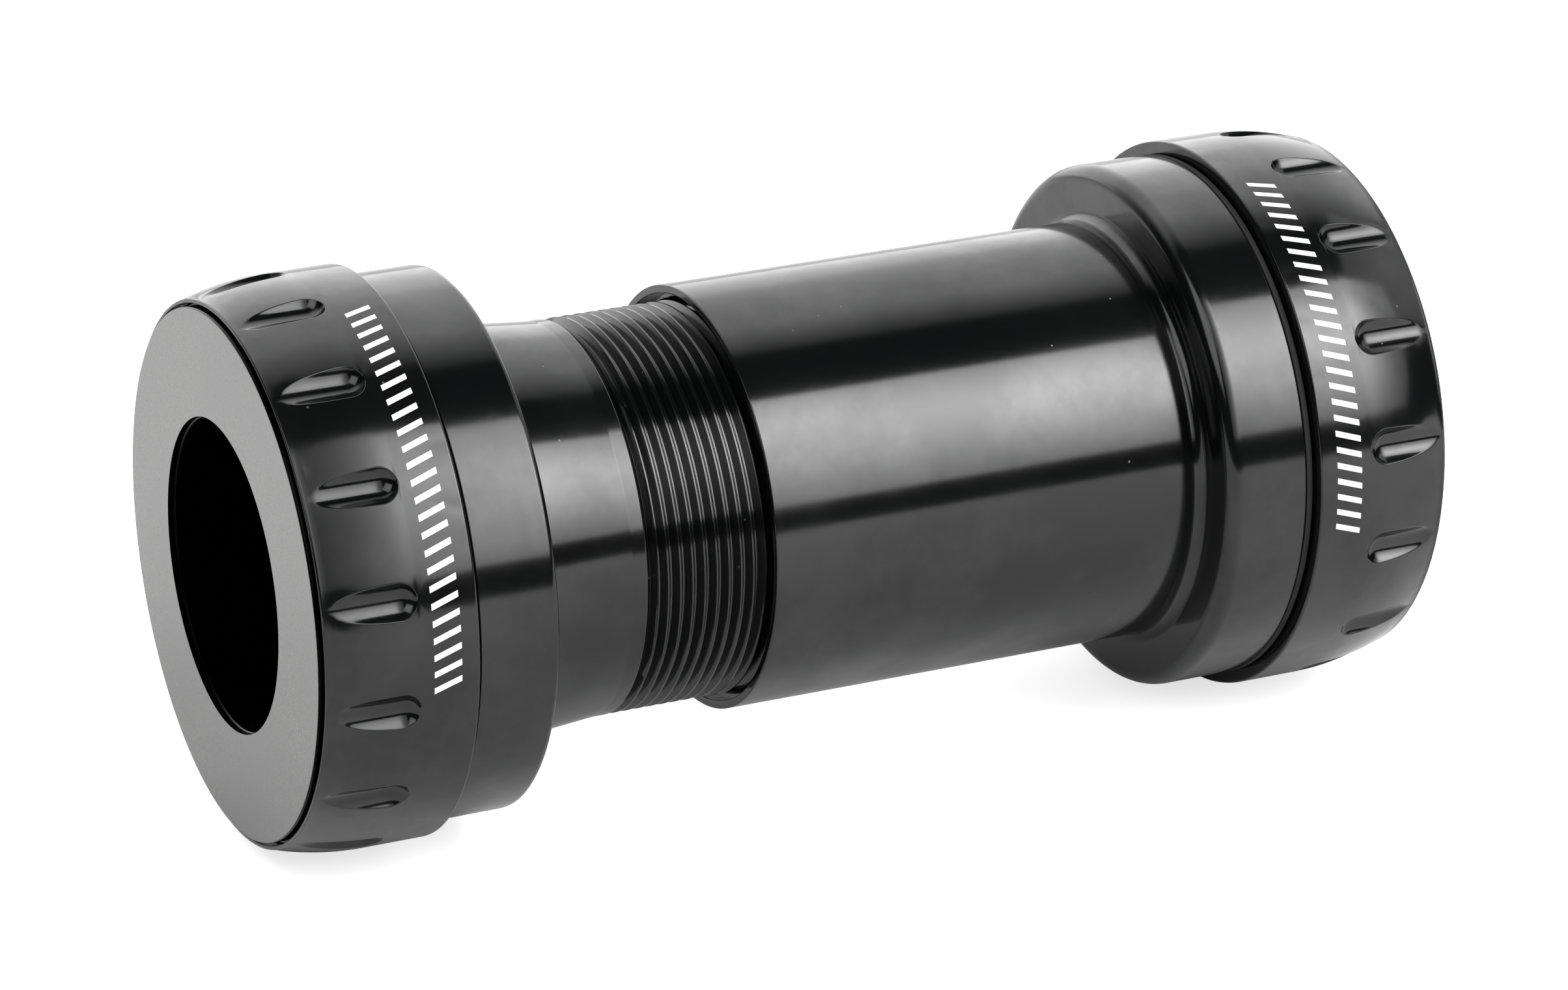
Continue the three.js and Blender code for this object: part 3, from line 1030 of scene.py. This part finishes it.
@dataclass
class Bearing:
    """A sealed ball bearing: two races, a crown cage, balls and two contact seals."""

    side: Side
    shoulder: float
    middle: float = 6.9
    width: float = 7.0
    outer_r: float = 18.5
    bore_r: float = 12.5
    ball_r: float = 1.75
    balls: int = 15
    pitch_r: float = 15.5
    inner_land: float = 14.1
    outer_land: float = 16.9
    groove_r: float = 1.86

    def at(self, height: float) -> float:
        """Place along the axis of a height."""
        return self.side.value * (self.shoulder + self.middle + height)

    def _outline(self, corners: Sequence[tuple]) -> np.ndarray:
        """Rounds a closed outline of (radius, height, cut) and places it on the axis."""
        flat = rounded([corners[-1]] + list(corners) + [corners[0]], 3)[1:-1]
        return np.stack([flat[:, 0], self.at(flat[:, 1])], axis=1)

    def _groove(self, land: float, sign: float) -> list[tuple]:
        """A ball groove: a circle of groove_r about the pitch circle, from land to land.

        Args:
            land: radius of the plain surface beside the groove.
            sign: one for a groove that opens inwards, minus one for one that opens outwards.

        Returns:
            (radius, height, cut) for each corner, from the low end up.
        """
        reach = math.sqrt(self.groove_r ** 2 - (self.pitch_r - land) ** 2)
        swing = np.linspace(-1, 1, 13) * math.asin(reach / self.groove_r)
        r = self.pitch_r + sign * self.groove_r * np.cos(swing)
        return [(float(a), float(b), 0) for a, b in zip(r, self.groove_r * np.sin(swing))]

    def races(self) -> None:
        """Makes both races."""
        half, edge, corner = self.width / 2, 0.12, 0.3
        outer = [(self.outer_r, -half, corner), (self.outer_r, half, corner),
                 (self.outer_land, half, edge)]
        outer += self._groove(self.outer_land, 1.0)[::-1] + [(self.outer_land, -half, edge)]
        inner = [(self.bore_r, half, corner), (self.bore_r, -half, corner),
                 (self.inner_land, -half, edge)]
        inner += self._groove(self.inner_land, -1.0) + [(self.inner_land, half, edge)]
        word = self.side.word
        rings = (("outer_race", outer, "cup_body"), ("inner_race", inner, "rotor"))
        for name, corners, body in rings:
            made = turned(f"{word}_{name}_ring", self._outline(corners), 160)
            dress(made, STEEL, "bearing_steel", f"{word}_{body}", f"{word}_{name}")

    def seals(self) -> None:
        """Makes both contact seals: a disc with a rolled outer bead and a thin inner lip."""
        word = self.side.word
        for name, sign in (("outboard", 1.0), ("inboard", -1.0)):
            corners = [
                (14.25, 2.8, 0.05), (14.9, 2.95, 0.1), (16.3, 2.95, 0.05), (16.45, 2.8, 0.05),
                (16.7, 2.8, 0.1), (16.7, 3.2, 0.1), (14.7, 3.2, 0.15), (14.25, 3.0, 0.05)]
            flipped = [(r, sign * height, cut) for r, height, cut in corners]
            made = turned(f"{word}_{name}_seal_ring", self._outline(flipped), 160)
            dress(made, RUBBER, "seal_rubber", f"{word}_cup_body", f"{word}_{name}_seal")

    def cage(self) -> None:
        """Makes the crown cage: a ring whose open edge dips into a round pocket at each ball.

        The edge's height is the prong's height between balls, and
        -sqrt(pocket^2 - (pitch_r * angle)^2) inside a pocket.
        """
        pocket, base, tip, columns = self.ball_r + 0.12, -2.3, 1.5, 30 * self.balls
        angle = np.linspace(0, TURN, columns, endpoint=False)
        sector = TURN / self.balls
        off = (angle + sector / 2) % sector - sector / 2
        arc = pocket ** 2 - (self.pitch_r * off) ** 2
        prong = tip - 0.35 * np.abs(np.abs(off) - sector / 2)
        edge = np.where(arc > 0, -np.sqrt(np.maximum(arc, 0)), prong)
        low, high = 14.8, 16.2
        rows_r = np.array([low, low + 0.1, high - 0.1, high, high, high - 0.1, low + 0.1, low])
        part = np.array([0.03, 0, 0, 0.03, 0.97, 1, 1, 0.97])
        height = base + part[:, None] * (edge[None, :] - base)
        r = rows_r[:, None] + 0 * height
        points = around(r, self.at(height), angle[None, :] + 0 * height).reshape(-1, 3)
        quads = loop_quads(len(rows_r), columns)
        if self.side is Side.LEFT:
            quads = quads[:, ::-1]
        word = self.side.word
        made = write_mesh(f"{word}_crown_cage", points, quads)
        dress(made, NYLON, "cage_nylon", f"{word}_ball_set", f"{word}_cage")

    def ball(self, index: int) -> None:
        """Makes one ball: a sphere of latitude rows and longitude columns with closed poles.

        Args:
            index: the ball's number round the pitch circle, from nought.
        """
        rows, columns = 16, 28
        north = np.linspace(0, math.pi, rows)[:, None]
        east = np.linspace(0, TURN, columns, endpoint=False)[None, :]
        unit = np.stack([np.sin(north) * np.sin(east), np.sin(north) * np.cos(east),
                         np.cos(north) + 0 * east], axis=-1)
        angle = TURN * index / self.balls
        centre = np.array([self.pitch_r * math.sin(angle), self.at(0.0),
                           self.pitch_r * math.cos(angle)])
        quads = loop_quads(rows, columns).reshape(rows, columns, 4)[:-1].reshape(-1, 4)
        word = self.side.word
        name = f"{word}_ball_{index + 1:02d}"
        points = (centre + self.ball_r * unit).reshape(-1, 3)
        made = write_mesh(f"{name}_ceramic", points, quads, weld=True)
        dress(made, CERAMIC, "ceramic_ball", f"{word}_ball_set", name)

    def build(self) -> None:
        """Makes every piece of the bearing."""
        self.races()
        self.seals()
        self.cage()
        for index in range(self.balls):
            self.ball(index)


@dataclass
class Trim:
    """The dust cover and the shell seal of one cup."""

    side: Side
    shoulder: float
    cover_r: float = 20.4
    face: float = 12.0
    back: float = 10.8
    boss_r: float = 13.9
    boss_back: float = 10.5
    bore_r: float = 12.0
    hub_r: float = 12.4
    hub_end: float = 3.8
    seal_r: float = 20.75
    seal_wire: float = 0.18
    seal_place: float = -0.235

    def placed(self, outline: np.ndarray) -> np.ndarray:
        """Turns heights into places along the axis."""
        return np.stack([outline[:, 0], self.side.value * (self.shoulder + outline[:, 1])], axis=1)

    def cover(self) -> None:
        """Makes the dust cover: a flat disc, a boss and a thin hub with bevelled edges."""
        mouth_r = self.bore_r + 0.1
        corners = [
            (self.bore_r, self.hub_end, 0), (self.hub_r, self.hub_end, 0.12),
            (self.hub_r, self.boss_back, 0.1), (self.boss_r, self.boss_back, 0.1),
            (self.boss_r, self.back, 0.1), (self.cover_r, self.back, 0.15),
            (self.cover_r, self.face, 0.14), (mouth_r, self.face, 0.03),
            (mouth_r, self.face - 0.5, 0.04), (self.bore_r, self.face - 0.58, 0.04),
            (self.bore_r, self.hub_end + 0.2, 0)]
        word = self.side.word
        made = turned(f"{word}_cover_disc", self.placed(rounded(corners)), 256)
        dress(made, COVER_SATIN_PAINTED_SHADE, "cover_aluminium", f"{word}_rotor", f"{word}_dust_cover")

    def seal(self) -> None:
        """Makes the shell seal: a ring whose section has four shallow lobes,
        wire (1 - 0.14 cos 4a)."""
        swing = np.linspace(0, TURN, 40, endpoint=False)
        wire = self.seal_wire * (1 - 0.14 * np.cos(4 * swing))
        outline = np.stack([self.seal_r + wire * np.cos(swing),
                            self.seal_place + wire * np.sin(swing)], axis=1)
        word = self.side.word
        body = "right_cup_body" if self.side is Side.RIGHT else "left_slide"
        made = turned(f"{word}_shell_o_ring", self.placed(outline), 256)
        dress(made, RUBBER, "seal_rubber", body, f"{word}_shell_seal")

    def build(self) -> None:
        """Makes both pieces."""
        self.cover()
        self.seal()


# ---- studio ------------------------------------------------------------------------------------


@dataclass
class Studio:
    """The floor, the lights and the camera."""

    aim: tuple[float, float, float] = (0.0027, -0.0018, 0.0)
    azimuth: float = 65.25
    elevation: float = 21.64
    distance: float = 0.4713
    lens: float = 139.5
    film_width: float = 36.0
    table_front: float = 400.0
    table_back: float = 2600.0

    def camera(self) -> None:
        """Makes the camera: three-quarter view from the left cup's end, a little above."""
        data = bpy.data.cameras.new("camera")
        data.lens = self.lens
        data.sensor_width = self.film_width
        made = bpy.data.objects.new("camera", data)
        a, e = math.radians(self.azimuth), math.radians(self.elevation)
        back = Vector((math.sin(a) * math.cos(e), -math.cos(a) * math.cos(e), math.sin(e)))
        made.location = Vector(self.aim) + back * self.distance
        made.rotation_euler = back.to_track_quat("Z", "Y").to_euler()
        data.clip_start, data.clip_end = 0.01, 20.0
        bpy.context.scene.collection.objects.link(made)
        bpy.context.scene.camera = made

    def floor(self) -> None:
        """Makes the plain pale table top that the flanges rest on. It is brighter to look at
        than it is as a light."""
        low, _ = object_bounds()
        x, y = np.meshgrid([-self.table_back, self.table_front],
                           [-self.table_back, self.table_back], indexing="ij")
        points = np.stack([x, y, np.full_like(x, low[2] / MM)], -1).reshape(-1, 3)
        made = write_mesh("table", points, np.array([[0, 2, 3, 1]]))
        material = bpy.data.materials.new("table_white")
        material.use_nodes = True
        shader = Shader(material.node_tree)
        tone = shader.noise(3.0)
        seen = shader.node("ShaderNodeLightPath", output="Is Camera Ray")
        closure = shader.node("ShaderNodeBsdfPrincipled", {}, {
            "Base Color": shader.blend(tone, grey(0.8), grey(0.84)), "Roughness": 0.6,
            "Emission Color": shader.blend(seen, grey(0.0), grey(1.0)),
            "Emission Strength": 0.7}, "BSDF")
        shader.surface(closure)
        made.data.materials.append(material)
        made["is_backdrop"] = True

    def softbox(self, name: str, place: Sequence[float], turn: Sequence[float],
                size: tuple[float, float], power: float, hot: Sequence[float]) -> None:
        """Makes a rectangular light that is brightest in one patch and fades away from it.

        Args:
            name: the light's name.
            place: the middle of the light, in metres.
            turn: rotation about X, Y and Z in degrees. An unturned light shines straight down.
            size: its sides in metres.
            power: in watts.
            hot: middle of the bright patch along both sides, then its half-brightness widths,
                all in parts of the size. The glow is 1 / (1 + u^2 + v^2).
        """
        data = bpy.data.lights.new(name, "AREA")
        data.shape = "RECTANGLE"
        data.size, data.size_y = size
        data.energy = power
        made = bpy.data.objects.new(name, data)
        made.location = place
        made.rotation_euler = [math.radians(angle) for angle in turn]
        bpy.context.scene.collection.objects.link(made)
        data.use_nodes = True
        shader = Shader(data.node_tree)
        patch = shader.node("ShaderNodeNewGeometry", output="Parametric")
        across = (shader.part(patch, 0) - hot[0]) / hot[2]
        along = (shader.part(patch, 1) - hot[1]) / hot[3]
        glow = 1 / (1 + across * across + along * along)
        emission = shader.node("ShaderNodeEmission", {}, {"Strength": glow})
        shader.node("ShaderNodeOutputLight", {}, {"Surface": emission})

    def surroundings(self) -> None:
        """Makes the world: white to look at, and for light a room that is pale behind the object
        and dark overhead, in front and to the left.

        The wall's light is 3.4 b^0.85 up to a limit, where b rises from nought at the side to
        one behind, and a little more straight behind. It fades out towards the left.
        """
        world = bpy.data.worlds.new("studio")
        world.use_nodes = True
        bpy.context.scene.world = world
        shader = Shader(world.node_tree)
        direction = shader.node("ShaderNodeTexCoord", output="Generated")
        seen = shader.node("ShaderNodeLightPath", output="Is Camera Ray")
        behind = ((shader.part(direction, 0) * -1.0 - 0.1) / 0.75).most(0.0).least(1.0)
        to_left = (shader.part(direction, 1) * -1.0).eased(0.35, 0.8)
        wall = (3.4 * behind ** 0.85).least(1.7) + 0.35 * behind.eased(0.93, 1.0)
        level = 0.008 + wall * (1 - to_left)
        strength = seen + (1 - seen) * level
        inputs = {"Color": grey(1.0), "Strength": strength}
        backdrop = shader.node("ShaderNodeBackground", {}, inputs)
        shader.node("ShaderNodeOutputWorld", {}, {"Surface": backdrop})

    def build(self) -> None:
        """Makes the whole studio."""
        self.camera()
        self.floor()
        self.surroundings()
        self.softbox("front_softbox", place=(0.777, 0.4, 0.629), turn=(0, 51.0, 0),
                     size=(1.12, 1.6), power=62.8, hot=(0.372, 0.56, 0.4, 0.14))
        self.softbox("left_softbox", place=(0.35, -0.65, 0.65), turn=(0, 48.6, -61.7),
                     size=(0.7, 0.7), power=4.0, hot=(0.5, 0.5, 0.8, 0.8))
        self.softbox("right_softbox", place=(0.12, 0.76, 0.63), turn=(0, 50.6, 80.7),
                     size=(0.6, 0.6), power=1.3, hot=(0.5, 0.5, 0.8, 0.8))
        bpy.context.scene.view_settings.view_transform = "Standard"


def main() -> None:
    """Builds the pieces in order, then the studio."""
    logging.basicConfig(level=logging.INFO, format="%(name)s: %(message)s")
    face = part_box("right_dust_cover")[1][1] / MM
    shoulder = float(face) - Trim(Side.RIGHT, 0.0).face
    start = LeftCup.thread_start - shoulder
    left_thread = Thread(crest=15.4, root=14.8, start=start, turns=16)
    right_thread = Thread(crest=14.95, root=15.55, start=start + 10.5 * PITCH, turns=10)
    left_cup = LeftCup(Side.LEFT, shoulder, 9.6, left_thread, Flange(groove_width=0.46))
    right_cup = RightCup(Side.RIGHT, shoulder, 12.6, right_thread, Flange(groove_width=0.77))
    left_mark = Mark(Side.LEFT, shoulder)
    right_mark = Mark(Side.RIGHT, shoulder, first=16.0, last=98.0)
    left_trim = Trim(Side.LEFT, shoulder)
    right_trim = Trim(Side.RIGHT, shoulder, seal_wire=0.26, seal_place=-0.42)
    for cup, mark, trim in ((left_cup, left_mark, left_trim), (right_cup, right_mark, right_trim)):
        word = cup.side.word
        dress(cup.build(), ANODISING, "anodised_aluminium", f"{word}_cup_body", f"{word}_cup")
        dress(mark.build(), INK, "anodised_aluminium", f"{word}_cup_body")
        trim.build()
        Bearing(cup.side, shoulder).build()
    Studio().build()


if __name__ == "__main__":
    main()
